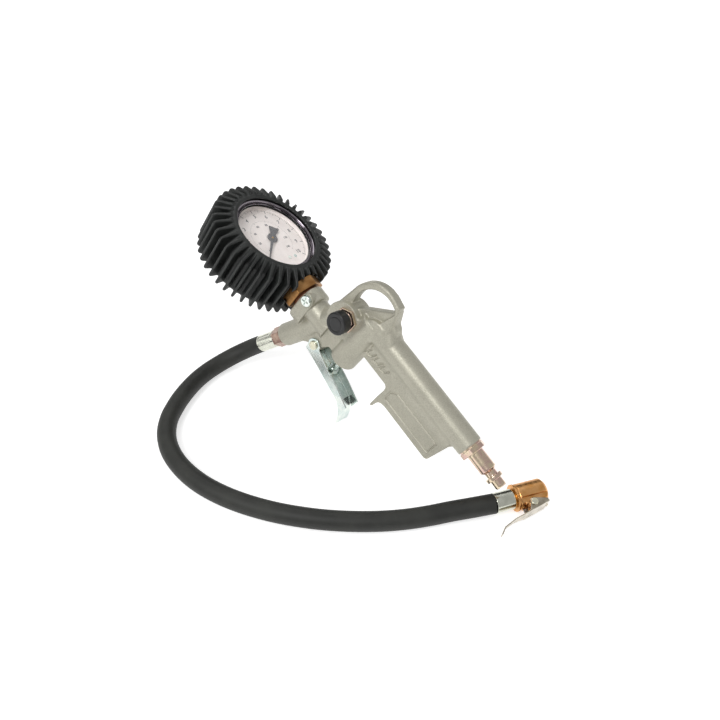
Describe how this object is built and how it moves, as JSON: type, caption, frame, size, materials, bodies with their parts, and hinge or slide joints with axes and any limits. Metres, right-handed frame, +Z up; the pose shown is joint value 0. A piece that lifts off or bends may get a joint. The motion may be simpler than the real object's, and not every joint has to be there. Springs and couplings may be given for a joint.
{
  "type": "tyre inflating gun",
  "caption": "Hand-held air-line tyre inflating gun with a lever valve, dial gauge in a ribbed rubber boot, bleed button, short hose and clip-on chuck.",
  "frame": {"origin": "on the floor, under the middle of the gun's box", "axes": "+X towards the air inlet, along the longest side; +Y towards the chuck's mouth; +Z up from the floor that the gun lies on"},
  "size_m": [0.3075, 0.186, 0.1375],
  "materials": {
    "cast_alloy": "sand blasted die casting",
    "zinc_plate": "turned steel with yellow zinc plate",
    "bright_zinc": "drawn steel with bright zinc plate",
    "plated_steel": "pressed steel with zinc plate",
    "nickel_steel": "pressed steel with nickel plate",
    "spring_steel": "drawn spring wire",
    "turned_brass": "turned brass",
    "rough_brass": "brass with a dull orange skin",
    "dark_chrome": "dark polished chrome",
    "black_rubber": "moulded black rubber",
    "hose_rubber": "matt extruded rubber",
    "black_plastic": "moulded black plastic",
    "dial_paint": "matt off-white paint with black print",
    "pointer_paint": "matt dark grey paint",
    "clear_glass": "clear flat glass"
  },
  "bodies": {
    "gun": {"gun_casting": "cast_alloy", "inlet_plug": "zinc_plate", "inlet_seal": "black_rubber", "valve_seat": "turned_brass", "valve_seat_ring": "black_rubber", "valve_spring": "spring_steel", "valve_gland": "turned_brass", "gland_ring": "black_rubber", "trigger_pin": "plated_steel", "bleed_collar": "zinc_plate", "bleed_spring": "spring_steel", "gauge_screw": "plated_steel", "gauge_socket": "rough_brass", "gauge_stem_seal": "black_rubber", "gauge_case": "dark_chrome", "gauge_boot": "black_rubber", "gauge_bezel": "dark_chrome", "gauge_glass": "clear_glass", "glass_gasket": "black_rubber", "dial_plate": "dial_paint", "dial_screws": "plated_steel", "front_plate": "turned_brass", "back_plate": "turned_brass", "plate_pillars": "turned_brass", "bourdon_tube": "rough_brass", "tube_tip_link": "turned_brass", "hairspring": "spring_steel", "hose_tail_upper": "zinc_plate", "hose_ferrule_upper": "bright_zinc", "hose": "hose_rubber", "hose_ferrule_lower": "bright_zinc", "hose_tail_lower": "turned_brass", "chuck_body": "rough_brass", "chuck_seal": "black_rubber", "chuck_depressor": "turned_brass", "clip_rivet": "plated_steel", "clip_spring": "spring_steel"},
    "trigger": {"trigger_lever": "plated_steel"},
    "valve": {"valve_spindle": "plated_steel", "poppet_seal": "black_rubber"},
    "bleed": {"bleed_button": "black_plastic", "bleed_stem": "turned_brass", "bleed_seal": "black_rubber"},
    "sector": {"sector_gear": "turned_brass"},
    "pointer": {"gauge_pointer": "pointer_paint", "pointer_arbor": "turned_brass"},
    "clip": {"chuck_clip": "nickel_steel"}
  },
  "joints": [
    {"name": "trigger_pull", "type": "hinge", "parent": "gun", "child": "trigger", "pos_m": [-0.02568, -0.00399, 0.05307], "axis": [0.1355, -0.9511, 0.2777], "range_deg": [0, 8], "stiffness_Nm_per_rad": 1, "springref_deg": -28.65},
    {"name": "valve_slide", "type": "slide", "parent": "gun", "child": "valve", "axis": [0.4169, 0.309, 0.8548], "range_m": [0, 0.0033], "deforming": ["valve_spring"]},
    {"name": "bleed_press", "type": "slide", "parent": "gun", "child": "bleed", "axis": [-0.1355, 0.9511, -0.2777], "range_m": [0, 0.0025], "stiffness_N_per_m": 800, "springref_m": -0.005, "deforming": ["bleed_spring"]},
    {"name": "sector_swing", "type": "hinge", "parent": "gun", "child": "sector", "pos_m": [-0.07904, 0.0013, 0.09718], "axis": [-0.4169, -0.309, -0.8548], "range_deg": [-33.75, 0], "stiffness_Nm_per_rad": 0.01, "springref_deg": 11.46},
    {"name": "pointer_sweep", "type": "hinge", "parent": "gun", "child": "pointer", "pos_m": [-0.09198, 0.0013, 0.1035], "axis": [-0.4169, -0.309, -0.8548], "range_deg": [0, 270]},
    {"name": "clip_squeeze", "type": "hinge", "parent": "gun", "child": "clip", "pos_m": [0.15754, 0.02726, 0.00877], "axis": [-0.1884, 0.0879, -0.9781], "range_deg": [0, 12], "stiffness_Nm_per_rad": 0.3, "springref_deg": -17.19, "deforming": ["clip_spring"]}
  ],
  "couplings": [
    {"joint": "valve_slide", "follows": "trigger_pull", "m_per_rad": 0.0235},
    {"joint": "pointer_sweep", "follows": "sector_swing", "ratio": -8}
  ]
}
